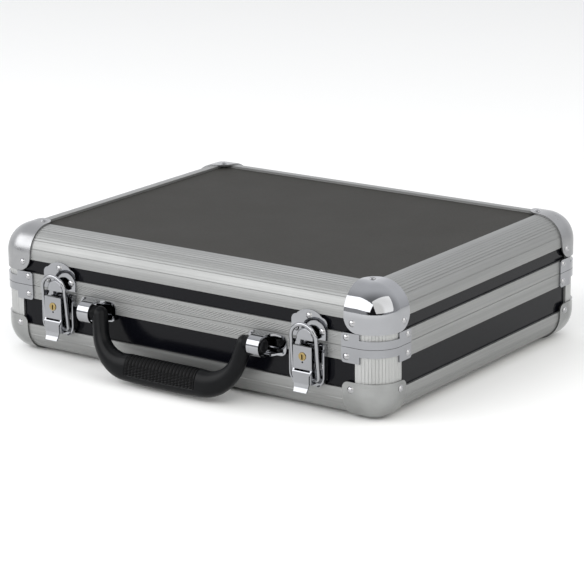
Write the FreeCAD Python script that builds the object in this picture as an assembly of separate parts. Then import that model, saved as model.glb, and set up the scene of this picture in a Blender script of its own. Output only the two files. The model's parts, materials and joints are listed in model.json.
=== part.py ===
"""Hard-shell carry case for art supplies, with an aluminium frame and black laminated panels.

The case lies on its bottom face. +Z is up, -Y is the front with the handle and the latches, and +X is
to the right. The origin is at the bottom centre of the whole object's box. Lengths are millimetres.

Construction: thin boards sit in the channels of aluminium extrusions. Big quarter-round extrusions run
along the top and bottom edges, quarter-round posts stand in the four upright corners, and the two rims
close with a tongue and groove. Pressed ball corners cover the eight corners, and clamps tie the rims
together round the posts. Two keyed draw latches and a moulded handle are on the front, and two butt
hinges on the back.

Each sub-part is written to parts/NODE.step, and a node of several equal pieces holds one solid each.
"""
import FreeCAD
import Part

import math
import os

from FreeCAD import Vector

# ---- driving dimensions ----
CASE_WIDTH = 350.0          # outer faces of the extrusions, along X
CASE_DEPTH = 280.0          # outer faces of the extrusions, along Y
LID_HEIGHT = 42.7           # parting line to the lid's top lip
BASE_HEIGHT = 53.8          # parting line to the base's bottom lip
EDGE_RADIUS = 20.5          # outside rounding of every long edge and of the posts
LIP = 2.9                   # flat lip of an extrusion beside its rounding, over the board
SIDE_LEG = 22.8             # height of an edge extrusion on a side face
WALL = 1.5                  # extrusion wall
BOARD_INSET = 1.8           # a board's face behind the extrusions' faces
BOARD_UNDER = 2.5           # how far a board reaches under the rounding
FIN = 1.2                   # inner fin of a board channel
BOARD = 4.0                 # board thickness
FIT = 0.1                   # play of a board's end in its channel
GROOVE_WIDTH = 0.55         # fine grooves along the edge extrusions and the posts
GROOVE_DEPTH = 0.25
POST_GROOVES = 12           # evenly round a post
EDGE_GROOVES = 8            # round the upper part of an edge extrusion
EDGE_GROOVE_FIRST = 36.0    # degrees round from the side face
EDGE_GROOVE_STEP = 6.3
EDGE_GROOVE_LOW = 17.0      # one more, near the side face
LID_RIM_HEIGHT = 9.55
LID_RIM_FLOOR = 3.0         # a rim's board channel ends this far from the parting line
BASE_RIM_HEIGHT = 10.35
BASE_RIM_FLOOR = 5.0
RIM_THICKNESS = 7.0
PARTING_GAP = 0.15          # each rim stays this far from the parting line
TONGUE = 2.0                # the lid rim's tongue below the parting line
TONGUE_GROOVE = 3.0         # and the base rim's groove for it
RECESS = 1.5                # recess beside the tongue, above the parting line
LID_CORNER_LOBE = 11.6      # radius of a lid corner's round lobes, about the rounding's centre
BASE_CORNER_LONG = 33.5     # a base corner's longer leg; its pressing is not symmetrical
BASE_CORNER_SHORT = 27.5    # and its shorter leg
BASE_CORNER_HEIGHT = 28.7   # and its height
CORNER_PROUD = 1.3          # outside of the pressed corners, off the extrusions
CORNER_GAP = 0.05           # inside of the pressed corners, off the extrusions
CORNER_TAB_RADIUS = 5.0
LID_CORNER_RIVET = 25.0     # a lid corner's rivets, from both edges of each face
BASE_CORNER_INSET = 7.0     # a base corner's rivets, from its legs' ends
BASE_CORNER_RIVET_Z = 23.0  # and from the case's bottom
CLAMP_REACH = 34.0          # a rim clamp's reach along each face
CLAMP_EAR = 19.0            # where its tall ears begin
CLAMP_BAND = 6.0            # height of its band round the post
LID_EAR_HEIGHT = 10.3
BASE_EAR_HEIGHT = 11.3
CLAMP_CORNER = 2.2          # rounding of the ears' corners
CLAMP_RIVET = 30.0
CLAMP_RIVET_HEIGHT = 6.9
LINING = 3.0                # foam lining thickness
LINING_CLEAR = 0.8          # keeps it clear of the pressed corners
RIVET_HEAD_RADIUS = 2.6
RIVET_HEAD_HEIGHT = 1.5
RIVET_SHANK_RADIUS = 1.2
RIVET_SHANK = 3.6
FLUSH_RIVET_RADIUS = 2.0

LATCH_X = 114.0             # the two latches, either side of the middle
SHEET = 1.2                 # latch sheet steel
KEEPER_HALF = 15.2
KEEPER_SHOULDER = 13.5
KEEPER_TOP = 22.2
TAB_HALF = 7.2              # D-shaped tab that the bail goes round
TAB_FRONT = 7.4
TAB_TOP = 9.8
KEEPER_FOOT = 1.4           # the keeper's lower edge
BAIL_HALF = 10.7            # to the wire's centre
BAIL_WIRE = 1.4             # wire radius
BAIL_TOP = 13.3             # top of the wire's centreline
BAIL_OUT = 9.5              # wire centre off the face at the top
BAIL_PIVOT_Z = -27.5
BAIL_PIVOT_OUT = 5.5
LEVER_HALF = 7.9
LEVER_WAIST = 6.4           # half the finger tab's width
LEVER_TIP = 5.4
LEVER_PIVOT_Z = -5.2
LEVER_PIVOT_OUT = 4.6
LEVER_PIN_RADIUS = 1.25
LEVER_FRONT = 10.0          # face of the keyhole plate
LEVER_TOP_Z = -2.6
LEVER_STEP_Z = -19.5        # where the keyhole plate ends and the finger tab begins
LEVER_END_Z = -35.4
PLATE_HALF = 15.0           # latch plate on the base
PLATE_BOTTOM = -33.2
PLATE_SIDE = 4.8            # the pan's sides, off the face
EAR_IN = 4.7                # the ears that hold the lever's pin, from the latch's middle
EAR_OUT = 5.9
EAR_RADIUS = 2.6
LOCK_Z = -10.0
LOCK_RADIUS = 3.0
LOCK_PLAY = 0.1

BRACKET_X = 77.5            # handle brackets, either side of the middle
BRACKET_OUT = 11.6          # centre of the bracket's loop off the face
BRACKET_Z = -7.8            # and from the parting line
BRACKET_OUTER = 8.2
BRACKET_INNER = 6.7
BRACKET_ROOT_BEND = 5.0     # rounding of the loop where it meets the foot
BRACKET_FOOT_HALF = 16.6
BRACKET_FOOT_BEND = 5.0
BRACKET_TIP_HALF = 5.2      # half the loop's width at its front
BRACKET_WAIST_HALF = 5.45   # and where it begins to flare towards its foot
BRACKET_FLARE = 8.5
BOSS_RADIUS = 6.0           # the handle's ends, which turn in the loops
BOSS_END = 83.0
HANDLE_DROP = 76.0          # degrees below level at which the handle hangs
HANDLE_GRIP_OFF = 34.6      # grip's centreline from the pivot axis
HANDLE_ARM_X = 66.3         # where the arms leave the bosses
HANDLE_ARM_RADIUS = 6.1     # there, and along their straight stretch
HANDLE_END_RADIUS = 8.4     # where an arm runs into the grip
HANDLE_CORNER_X = 58.2      # where the arms' and the grip's centrelines meet
HANDLE_BEND = 28.6
HANDLE_SHIFT = -0.8         # it has play along its axis, and lies towards the left
GRIP_HALF_LENGTH = 37.0
GRIP_HALF_DEEP = 10.6
GRIP_RISE = 0.6             # the grip's middle above the arms' centreline, towards the pivot
GRIP_HALF_THICK = 8.4

HINGE_X = 105.0             # two butt hinges on the back
HINGE_LENGTH = 60.0
HINGE_LEAF = 1.4
HINGE_LEAF_HEIGHT = 9.0
HINGE_OUT = 3.4             # pin's axis off the back face
KNUCKLE_RADIUS = 2.9
HINGE_PIN_RADIUS = 1.5
HINGE_PLAY = 0.05
KNUCKLES = 5
KNUCKLE_GAP = 0.2
KNUCKLE_CLEAR = 0.3         # round the other leaf's knuckles
KNUCKLE_WEB = 2.6           # height of the web that joins a knuckle to its leaf
LEAF_PARTING = 0.4          # each leaf stays this far from the parting line

# ---- places that follow from them ----
PARTING = CORNER_PROUD + BASE_HEIGHT
HALF_X = CASE_WIDTH / 2
HALF_Y = CASE_DEPTH / 2
CORNER_LEG = EDGE_RADIUS + LIP
BOARD_EDGE = EDGE_RADIUS - BOARD_UNDER
HANDLE_COS, HANDLE_SIN = math.cos(math.radians(HANDLE_DROP)), math.sin(math.radians(HANDLE_DROP))
HANDLE_REACH = (BRACKET_OUT + (HANDLE_GRIP_OFF - GRIP_RISE) * HANDLE_COS
                + math.hypot(GRIP_HALF_DEEP * HANDLE_COS, GRIP_HALF_THICK * HANDLE_SIN))
HINGE_REACH = HINGE_OUT + KNUCKLE_RADIUS
CASE_MIDDLE_Y = (HANDLE_REACH - HINGE_REACH) / 2   # brings the whole object's box to the origin
FRONT_Y = CASE_MIDDLE_Y - HALF_Y
BACK_Y = CASE_MIDDLE_Y + HALF_Y
SIDES = {"front": (0, HALF_Y, HALF_X), "right": (90, HALF_X, HALF_Y),
         "back": (180, HALF_Y, HALF_X), "left": (270, HALF_X, HALF_Y)}
CORNERS = [(-1, -1), (1, -1), (1, 1), (-1, 1)]
POST_ANGLES = [90.0 * (n + 1) / (POST_GROOVES + 1) for n in range(POST_GROOVES)]
EDGE_ANGLES = [EDGE_GROOVE_LOW] + [EDGE_GROOVE_FIRST + n * EDGE_GROOVE_STEP for n in range(EDGE_GROOVES)]

os.makedirs("parts", exist_ok=True)


# ---- helpers ----
def write(name, *solids):
    """One node: every solid that it holds, exported together."""
    shape = solids[0] if len(solids) == 1 else Part.Compound(list(solids))
    if not shape.isValid() or any(s.Volume <= 0 for s in shape.Solids):
        raise ValueError(f"{name} is not a sound solid")
    shape.exportStep(f"parts/{name}.step")


def box(x0, x1, y0, y1, z0, z1):
    return Part.makeBox(x1 - x0, y1 - y0, z1 - z0, Vector(x0, y0, z0))


def rod(radius, start, end):
    start, end = Vector(*start), Vector(*end)
    return Part.makeCylinder(radius, (end - start).Length, start, end - start)


def arc(start, middle, end):
    return Part.Arc(Vector(*start), Vector(*middle), Vector(*end)).toShape()


def line(start, end):
    return Part.makeLine(Vector(*start), Vector(*end))


def polygon(points):
    """A closed outline through points, each (u, w, 0)-like triple."""
    loop = [Vector(*p) for p in points]
    return Part.Wire(Part.makePolygon(loop + [loop[0]]).Edges)


def extrude(wire, along):
    return Part.Face(wire).extrude(Vector(*along))


def bar(points, half_length):
    """A bar along X whose section is points of (in from the face, up), centred on X = 0."""
    return extrude(polygon([(-half_length, u, w) for u, w in points]), (2 * half_length, 0, 0))


def turned(shape, degrees):
    """A copy turned about the upright axis through the case's middle."""
    copy = shape.copy()
    copy.rotate(Vector(0, 0, 0), Vector(0, 0, 1), degrees)
    return copy


def moved(shape, x=0.0, y=0.0, z=0.0):
    copy = shape.copy()
    copy.translate(Vector(x, y, z))
    return copy


def on_side(shape, side):
    """Takes a shape built with the face at Y = 0 and the inside at +Y to that side of the case."""
    angle, off, _ = SIDES[side]
    return moved(turned(moved(shape, y=-off), angle), y=CASE_MIDDLE_Y)


def mirrored_x(shape):
    return shape.mirror(Vector(0, 0, 0), Vector(1, 0, 0))


def at_corner(shape, sx, sy):
    """Takes a shape built in the corner x = 0, y = 0, going inwards along +X and +Y, to one of the four."""
    copy = shape.copy()
    if sx > 0:
        copy = copy.mirror(Vector(0, 0, 0), Vector(1, 0, 0))
    if sy > 0:
        copy = copy.mirror(Vector(0, 0, 0), Vector(0, 1, 0))
    return moved(copy, sx * HALF_X, sy * HALF_Y + CASE_MIDDLE_Y)


def flipped(shape, z):
    """A copy mirrored in the level plane at height z."""
    return shape.mirror(Vector(0, 0, z), Vector(0, 0, 1))


# ---- rivets: each has a dome outside and a shank into what it holds ----
def rivet(place, outward, flush=False):
    outward = Vector(*outward)
    if flush:
        return Part.makeCylinder(FLUSH_RIVET_RADIUS, RIVET_SHANK, Vector(*place), outward * -1)
    sphere_radius = (RIVET_HEAD_RADIUS**2 + RIVET_HEAD_HEIGHT**2) / (2 * RIVET_HEAD_HEIGHT)
    rise = math.sqrt(sphere_radius**2 - RIVET_HEAD_RADIUS**2)
    rim, top = (RIVET_HEAD_RADIUS, 0, 0), (0, 0, RIVET_HEAD_HEIGHT)
    half_angle = math.atan2(rise, RIVET_HEAD_RADIUS) / 2 + math.pi / 4
    middle = (sphere_radius * math.cos(half_angle), 0, sphere_radius * math.sin(half_angle) - rise)
    outline = Part.Wire([
        arc(rim, middle, top), line(top, (0, 0, -RIVET_SHANK)),
        line((0, 0, -RIVET_SHANK), (RIVET_SHANK_RADIUS, 0, -RIVET_SHANK)),
        line((RIVET_SHANK_RADIUS, 0, -RIVET_SHANK), (RIVET_SHANK_RADIUS, 0, 0)),
        line((RIVET_SHANK_RADIUS, 0, 0), rim)])
    solid = Part.Face(outline).revolve(Vector(0, 0, 0), Vector(0, 0, 1), 360)
    solid = Part.Solid(solid.Shells[0]) if solid.ShapeType != "Solid" else solid
    solid.Placement = FreeCAD.Placement(Vector(*place), FreeCAD.Rotation(Vector(0, 0, 1), outward))
    return solid


def shank_hole(place, outward, flush=False):
    outward = Vector(*outward)
    radius = FLUSH_RIVET_RADIUS if flush else RIVET_SHANK_RADIUS
    return Part.makeCylinder(radius, RIVET_SHANK, Vector(*place), outward * -1)


def pierce(solids, rivets):
    """Cuts the rivets' shank holes in each solid that they reach."""
    out = []
    for solid in solids:
        near = [shank_hole(*r) for r in rivets if r_near(r, solid)]
        cut = solid.cut(Part.Compound(near)) if near else solid
        out.append(cut.Solids[0] if len(cut.Solids) == 1 else cut)
    return out


def r_near(r, solid):
    place, bounds, reach = Vector(*r[0]), solid.BoundBox, RIVET_SHANK + FLUSH_RIVET_RADIUS
    return (bounds.XMin - reach < place.x < bounds.XMax + reach
            and bounds.YMin - reach < place.y < bounds.YMax + reach
            and bounds.ZMin - reach < place.z < bounds.ZMax + reach)


# ---- extrusion sections, in (in from the side face, in from the top face) ----
def quarter_round(side_leg, top_leg, grooves, plane):
    """The section of an edge extrusion or post: a quarter-round shell with a board channel on each leg.
    grooves are angles round it, and plane turns a pair of section coordinates into a 3-D point."""
    inner = EDGE_RADIUS - WALL
    fin_out, fin_in = BOARD_INSET + BOARD, BOARD_INSET + BOARD + FIN
    root = BOARD_EDGE - FIN
    shell = EDGE_RADIUS - math.sqrt(inner**2 - (EDGE_RADIUS - root)**2)

    def on_arc(radius, degrees):
        a = math.radians(degrees)
        return (EDGE_RADIUS - radius * math.cos(a), EDGE_RADIUS - radius * math.sin(a))

    edges = []

    def to(p, q):
        edges.append(line(plane(p), plane(q)))

    def round_to(radius, a, b):
        points = [plane(on_arc(radius, degrees)) for degrees in (a, (a + b) / 2, b)]
        edges.append(arc(*points))

    def through(path):
        for p, q in zip(path, path[1:]):
            to(p, q)

    # outside: straight leg, rounding with fine grooves, lip
    half_groove = math.degrees(GROOVE_WIDTH / 2 / EDGE_RADIUS)
    to((0, side_leg), (0, EDGE_RADIUS))
    at = 0.0
    for middle in grooves:
        bottom = on_arc(EDGE_RADIUS - GROOVE_DEPTH, middle)
        round_to(EDGE_RADIUS, at, middle - half_groove)
        to(on_arc(EDGE_RADIUS, middle - half_groove), bottom)
        to(bottom, on_arc(EDGE_RADIUS, middle + half_groove))
        at = middle + half_groove
    round_to(EDGE_RADIUS, at, 90)
    through([(EDGE_RADIUS, 0), (top_leg, 0), (top_leg, BOARD_INSET), (BOARD_EDGE, BOARD_INSET),
             (BOARD_EDGE, fin_out), (top_leg, fin_out), (top_leg, fin_in), (root, fin_in), (root, shell)])
    edges.append(arc(plane((root, shell)), plane(on_arc(inner, 45)), plane((shell, root))))
    through([(shell, root), (fin_in, root), (fin_in, side_leg), (fin_out, side_leg), (fin_out, BOARD_EDGE),
             (BOARD_INSET, BOARD_EDGE), (BOARD_INSET, side_leg), (0, side_leg)])
    return Part.Wire(edges)


def edge_bar(half_length):
    """A top edge extrusion along X: the side face at Y = 0, the lip's top at the lid's top."""
    top = PARTING + LID_HEIGHT
    wire = quarter_round(SIDE_LEG, CORNER_LEG, EDGE_ANGLES, lambda p: (-half_length, p[0], top - p[1]))
    return extrude(wire, (2 * half_length, 0, 0))


def post(z0, z1):
    """An upright corner post from z0 to z1, in the corner x = 0, y = 0."""
    wire = quarter_round(CORNER_LEG, CORNER_LEG, POST_ANGLES, lambda p: (p[0], p[1], z0))
    return extrude(wire, (0, 0, z1 - z0))


def lid_rim_section():
    """Board channel above, and below it a tapered tongue in a shallow recess."""
    gap, height, floor, inner = PARTING_GAP, LID_RIM_HEIGHT, LID_RIM_FLOOR, BOARD_INSET + BOARD
    channel = [(0, gap), (0, height), (BOARD_INSET, height), (BOARD_INSET, floor), (inner, floor),
               (inner, height), (RIM_THICKNESS, height), (RIM_THICKNESS, gap)]
    tongue = [(4.7, RECESS), (4.4, -TONGUE), (3.2, -TONGUE), (2.9, RECESS)]
    return channel + [(5.6, gap), (5.6, RECESS)] + tongue + [(2.0, RECESS), (2.0, gap)]


def base_rim_section():
    """Board channel below, and a groove for the tongue above."""
    gap, height, floor, inner = -PARTING_GAP, -BASE_RIM_HEIGHT, -BASE_RIM_FLOOR, BOARD_INSET + BOARD
    channel = [(0, gap), (0, height), (BOARD_INSET, height), (BOARD_INSET, floor), (inner, floor),
               (inner, height), (RIM_THICKNESS, height), (RIM_THICKNESS, gap)]
    return channel + [(5.9, gap), (5.9, -TONGUE_GROOVE), (1.7, -TONGUE_GROOVE), (1.7, gap)]


# ---- pressed corners ----
def corner_block(offset, reach):
    """A block in the corner x = y = 0 under the lid's top, its three outer faces out by offset, with
    all three edges and the corner between them rounded."""
    top = PARTING + LID_HEIGHT
    block = box(-offset, reach, -offset, reach, top - reach, top + offset)
    edges = []
    for e in block.Edges:
        a, b = e.Vertexes[0].Point, e.Vertexes[1].Point
        on_x = abs(a.x + offset) < 1e-6 and abs(b.x + offset) < 1e-6
        on_y = abs(a.y + offset) < 1e-6 and abs(b.y + offset) < 1e-6
        on_z = abs(a.z - top - offset) < 1e-6 and abs(b.z - top - offset) < 1e-6
        if on_x + on_y + on_z == 2:
            edges.append(e)
    return block.makeFillet(EDGE_RADIUS + offset, edges)


def tab_prism(place, along, across, down, radius):
    """A prism whose outline is one face of a ball corner, across by down, with its far corner rounded.
    place takes the outline's two coordinates, from the case's edges, to a 3-D point."""
    low = -CORNER_PROUD - 1
    bend = radius * (1 - math.sqrt(0.5))
    wire = Part.Wire([
        line(place(low, low), place(across, low)), line(place(across, low), place(across, down - radius)),
        arc(place(across, down - radius), place(across - bend, down - bend), place(across - radius, down)),
        line(place(across - radius, down), place(low, down)), line(place(low, down), place(low, low))])
    return extrude(wire, along)


def ball_corner(reach_x, reach_y, height, radius):
    """A lid's ball corner, in the corner x = 0, y = 0: a pressed shell with a rounded tab on each face."""
    top = PARTING + LID_HEIGHT
    size = max(reach_x, reach_y, height)
    shell = corner_block(CORNER_PROUD, size).cut(corner_block(CORNER_GAP, size + 5))
    over = tab_prism(lambda u, w: (u, w, top - 2 * size), (0, 0, 3 * size), reach_x, reach_y, radius)
    front = tab_prism(lambda u, w: (u, -size, top - w), (0, 3 * size, 0), reach_x, height, radius)
    side = tab_prism(lambda u, w: (-size, u, top - w), (3 * size, 0, 0), reach_y, height, radius)
    return shell.common(over).common(front).common(side).Solids[0]


def corner_rivets(sx, sy, top, up, along_x, along_y, down):
    """The three rivets of a ball corner at one of the four corners: on its side faces, along from the
    upright edge and down from the top or bottom, and on its level face."""
    x = sx * (HALF_X - along_x)
    y = CASE_MIDDLE_Y + sy * (HALF_Y - along_y)
    z = top - up * down
    out_x = sx * (HALF_X + CORNER_PROUD)
    out_y = CASE_MIDDLE_Y + sy * (HALF_Y + CORNER_PROUD)
    return [((x, out_y, z), (0, sy, 0)), ((out_x, y, z), (sx, 0, 0)),
            ((x, y, top + up * CORNER_PROUD), (0, 0, up), up < 0)]


def base_corner_legs(sx, sy):
    """A base corner's reach along X and Y: the same pressing, turned by a quarter from corner to corner."""
    legs = (BASE_CORNER_LONG, BASE_CORNER_SHORT)
    return legs if sx * sy < 0 else legs[::-1]


def rim_clamp(ear_height):
    """A lid's clamp: a band round the post with a tall ear on each face, in the corner x = 0, y = 0."""
    def plan(offset, reach):
        r = EDGE_RADIUS + offset
        bend = EDGE_RADIUS - r * math.sqrt(0.5)
        wire = Part.Wire([
            line((-offset, reach, 0), (-offset, EDGE_RADIUS, 0)),
            arc((-offset, EDGE_RADIUS, 0), (bend, bend, 0), (EDGE_RADIUS, -offset, 0)),
            line((EDGE_RADIUS, -offset, 0), (reach, -offset, 0)),
            line((reach, -offset, 0), (reach, reach, 0)), line((reach, reach, 0), (-offset, reach, 0))])
        return extrude(wire, (0, 0, ear_height - PARTING_GAP))
    band = plan(CORNER_PROUD, CLAMP_REACH).cut(plan(CORNER_GAP, CLAMP_REACH + 5))
    band = moved(band, z=PARTING + PARTING_GAP)
    low = PARTING + CLAMP_BAND
    band = band.cut(box(-5, CLAMP_EAR, -5, CLAMP_EAR, low, low + 20)).Solids[0]
    top = PARTING + ear_height
    ends = [e for e in band.Edges if e.Length < 2 * CORNER_PROUD and abs(e.BoundBox.ZMin - top) < 1e-6
            and max(e.BoundBox.XMax, e.BoundBox.YMax) > CLAMP_REACH - 1e-6]
    return band.makeFillet(CLAMP_CORNER, ends)


def clamp_rivets(sx, sy, up):
    z = PARTING + up * CLAMP_RIVET_HEIGHT
    x = sx * (HALF_X - CLAMP_RIVET)
    y = CASE_MIDDLE_Y + sy * (HALF_Y - CLAMP_RIVET)
    return [((x, CASE_MIDDLE_Y + sy * (HALF_Y + CORNER_PROUD), z), (0, sy, 0)),
            ((sx * (HALF_X + CORNER_PROUD), y, z), (sx, 0, 0))]


# ---- the two shells ----
def boards(low, high, face_z, inner_z):
    """The side boards between heights low and high, and the flat board between face_z and inner_z."""
    made = {}
    for side, (_, _, half) in SIDES.items():
        reach = half - BOARD_EDGE - FIT
        made[side] = on_side(box(-reach, reach, BOARD_INSET, BOARD_INSET + BOARD, low, high), side)
    x, y = HALF_X - BOARD_EDGE - FIT, HALF_Y - BOARD_EDGE - FIT
    made["flat"] = moved(box(-x, x, -y, y, min(face_z, inner_z), max(face_z, inner_z)), y=CASE_MIDDLE_Y)
    return made


def lining(low, high, board_z, pad_z, up):
    """Foam pad on the flat board, stepped over the fins, and four strips on the side boards."""
    outer, inner = RIM_THICKNESS, RIM_THICKNESS + LINING
    reach_x, reach_y = HALF_X - CORNER_LEG - 0.2, HALF_Y - CORNER_LEG - 0.2
    step = pad_z - up * LINING
    wide_x, wide_y = HALF_X - outer - LINING_CLEAR, HALF_Y - outer - LINING_CLEAR
    core = box(-reach_x, reach_x, -reach_y, reach_y, min(board_z, step), max(board_z, step))
    sheet = box(-wide_x, wide_x, -wide_y, wide_y, min(step, pad_z), max(step, pad_z))
    upright = [e for e in sheet.Edges if e.BoundBox.XLength < 1e-6 and e.BoundBox.YLength < 1e-6]
    sheet = sheet.makeFillet(EDGE_RADIUS - outer - LINING_CLEAR, upright)
    pieces = [moved(core.fuse(sheet).removeSplitter(), y=CASE_MIDDLE_Y)]
    for side, (_, _, half) in SIDES.items():
        end = half - inner - LINING_CLEAR
        pieces.append(on_side(box(-end, end, outer, inner, low, high), side))
    return pieces


def shell_node_names(part):
    return {side: (f"{part}_board_{side}", f"{part}_edge_{side}", f"{part}_rim_{side}") for side in SIDES}


def make_lid(extra_rivets):
    top = PARTING + LID_HEIGHT
    board_z = top - BOARD_INSET - BOARD
    made = boards(PARTING + LID_RIM_FLOOR + FIT, top - BOARD_EDGE - FIT, top - BOARD_INSET, board_z)
    rivets = list(extra_rivets)
    for sx, sy in CORNERS:
        rivets += corner_rivets(sx, sy, top, 1, *[LID_CORNER_RIVET] * 3) + clamp_rivets(sx, sy, 1)
    for side, (board_name, edge_name, rim_name) in shell_node_names("lid").items():
        half = SIDES[side][2] - CORNER_LEG
        rim = moved(bar(lid_rim_section(), half), z=PARTING)
        write(board_name, *pierce([made[side]], rivets))
        write(edge_name, *pierce([on_side(edge_bar(half), side)], rivets))
        write(rim_name, *pierce([on_side(rim, side)], rivets))
    write("lid_board_top", *pierce([made["flat"]], rivets))
    upright = post(PARTING + PARTING_GAP, top - EDGE_RADIUS - 0.2)
    write("lid_corner_posts", *pierce([at_corner(upright, *c) for c in CORNERS], rivets))
    lobed = ball_corner(*[EDGE_RADIUS + LID_CORNER_LOBE] * 3, LID_CORNER_LOBE)
    write("lid_ball_corners", *pierce([at_corner(lobed, *c) for c in CORNERS], rivets))
    write("lid_rim_clamps", *pierce([at_corner(rim_clamp(LID_EAR_HEIGHT), *c) for c in CORNERS], rivets))
    write("lid_rivets", *[rivet(*r) for r in rivets])
    pad_z = board_z - FIN - FIT - LINING
    write("lid_lining", *lining(PARTING + LID_RIM_HEIGHT + 0.2, pad_z, board_z, pad_z, -1))


def make_base(extra_rivets):
    bottom = PARTING - BASE_HEIGHT
    board_z = bottom + BOARD_INSET + BOARD
    made = boards(bottom + BOARD_EDGE + FIT, PARTING - BASE_RIM_FLOOR - FIT, bottom + BOARD_INSET, board_z)
    rivets = list(extra_rivets)
    for sx, sy in CORNERS:
        along = [leg - BASE_CORNER_INSET for leg in base_corner_legs(sx, sy)]
        rivets += corner_rivets(sx, sy, bottom, -1, *along, BASE_CORNER_RIVET_Z)
        rivets += clamp_rivets(sx, sy, -1)
    # the lid's extrusions and corners, mirrored and brought to the base's bottom
    drop = PARTING + LID_HEIGHT + bottom
    for side, (board_name, edge_name, rim_name) in shell_node_names("base").items():
        half = SIDES[side][2] - CORNER_LEG
        edge = flipped(edge_bar(half), drop / 2)
        rim = moved(bar(base_rim_section(), half), z=PARTING)
        write(board_name, *pierce([made[side]], rivets))
        write(edge_name, *pierce([on_side(edge, side)], rivets))
        write(rim_name, *pierce([on_side(rim, side)], rivets))
    write("base_board_bottom", *pierce([made["flat"]], rivets))
    upright = post(bottom + EDGE_RADIUS + 0.2, PARTING - PARTING_GAP)
    corners = []
    for c in CORNERS:
        corner = ball_corner(*base_corner_legs(*c), BASE_CORNER_HEIGHT, CORNER_TAB_RADIUS)
        corners.append(at_corner(flipped(corner, drop / 2), *c))
    clamp = flipped(rim_clamp(BASE_EAR_HEIGHT), PARTING)
    write("base_corner_posts", *pierce([at_corner(upright, *c) for c in CORNERS], rivets))
    write("base_ball_corners", *pierce(corners, rivets))
    write("base_rim_clamps", *pierce([at_corner(clamp, *c) for c in CORNERS], rivets))
    write("base_rivets", *[rivet(*r) for r in rivets])
    pad_z = board_z + FIN + FIT + LINING
    write("base_lining", *lining(pad_z, PARTING - BASE_RIM_HEIGHT - 0.2, board_z, pad_z, 1))


# ---- latches: x from the latch's middle, out from the front face, z from the parting line ----
def at_latch(shape, side):
    return moved(shape, side * LATCH_X, FRONT_Y, PARTING)


def keeper_plate():
    """Plate on the lid with an arched top, and the D-shaped tab, bent out and up from its foot."""
    y, foot_z = 0, KEEPER_FOOT
    half, shoulder, top = KEEPER_HALF, KEEPER_SHOULDER, KEEPER_TOP
    cheek = (half - 4.2, y, shoulder + 4.2)
    wire = Part.Wire([
        line((-half, y, foot_z), (half, y, foot_z)), line((half, y, foot_z), (half, y, shoulder)),
        arc((half, y, shoulder), (half - 1.1, y, shoulder + 2.6), cheek),
        arc(cheek, (0, y, top), (-cheek[0], y, cheek[2])),
        arc((-cheek[0], y, cheek[2]), (1.1 - half, y, shoulder + 2.6), (-half, y, shoulder)),
        line((-half, y, shoulder), (-half, y, foot_z))])
    plate = extrude(wire, (0, -SHEET, 0))
    arc_z = TAB_TOP - TAB_HALF
    face = Part.Wire([
        line((-TAB_HALF, 0, foot_z), (TAB_HALF, 0, foot_z)),
        line((TAB_HALF, 0, foot_z), (TAB_HALF, 0, arc_z)),
        arc((TAB_HALF, 0, arc_z), (0, 0, TAB_TOP), (-TAB_HALF, 0, arc_z)),
        line((-TAB_HALF, 0, arc_z), (-TAB_HALF, 0, foot_z))])
    tab = moved(extrude(face, (0, -SHEET - 1.2, 0)), y=SHEET + 1.2 - TAB_FRONT)
    rounded = [e for e in tab.Edges if abs(e.BoundBox.YMin + TAB_FRONT) < 1e-3 and e.BoundBox.YLength < 1e-3
               and e.BoundBox.ZMax > foot_z + 0.5]
    tab = tab.makeFillet(1.0, rounded)
    foot = box(-TAB_HALF, TAB_HALF, -TAB_FRONT + 1, 0, foot_z, foot_z + SHEET)
    return plate.fuse([tab, foot]).removeSplitter().Solids[0]


def keeper_rivets(side):
    x, y = side * LATCH_X, FRONT_Y - SHEET
    return [((x, y, PARTING + 17.8), (0, -1, 0)), ((x - 11, y, PARTING + 7.6), (0, -1, 0)),
            ((x + 11, y, PARTING + 7.6), (0, -1, 0))]


def latch_plate():
    """Pan on the base with raised sides, and two inner ears that hold the lever's pin."""
    half, bottom, bend = PLATE_HALF, PLATE_BOTTOM, 9.0
    k = bend * (1 - math.sqrt(0.5))

    def outline(inset, depth):
        h, b, r = half - inset, bottom + inset, bend - inset
        m = r * (1 - math.sqrt(0.5))
        wire = Part.Wire([
            line((-h, 0, -1), (h, 0, -1)), line((h, 0, -1), (h, 0, b + r)),
            arc((h, 0, b + r), (h - m, 0, b + m), (h - r, 0, b)), line((h - r, 0, b), (r - h, 0, b)),
            arc((r - h, 0, b), (m - h, 0, b + m), (-h, 0, b + r)), line((-h, 0, b + r), (-h, 0, -1))])
        return extrude(wire, (0, -depth, 0))
    pan = outline(0, PLATE_SIDE).cut(moved(outline(SHEET, 10), y=-SHEET))
    pan = pan.cut(box(-half + SHEET, half - SHEET, -10, -SHEET, -5, 1))
    pan = pan.cut(box(-half + bend - k, half - bend + k, -10, -SHEET, bottom - 1, bottom + SHEET + k))
    ears = []
    for side in (-1, 1):
        web = box(EAR_IN, EAR_OUT, -LEVER_PIVOT_OUT, 0, LEVER_PIVOT_Z - EAR_RADIUS, LEVER_PIVOT_Z)
        eye = [(x, -LEVER_PIVOT_OUT, LEVER_PIVOT_Z) for x in (EAR_IN, EAR_OUT)]
        ear = web.fuse(rod(EAR_RADIUS, *eye))
        ears.append(ear if side > 0 else mirrored_x(ear))
    plate = pan.fuse(ears).removeSplitter()
    pin_ends = [(x, -LEVER_PIVOT_OUT, LEVER_PIVOT_Z) for x in (-PLATE_HALF, PLATE_HALF)]
    return plate.cut(rod(LEVER_PIN_RADIUS, *pin_ends)).Solids[0]


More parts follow.
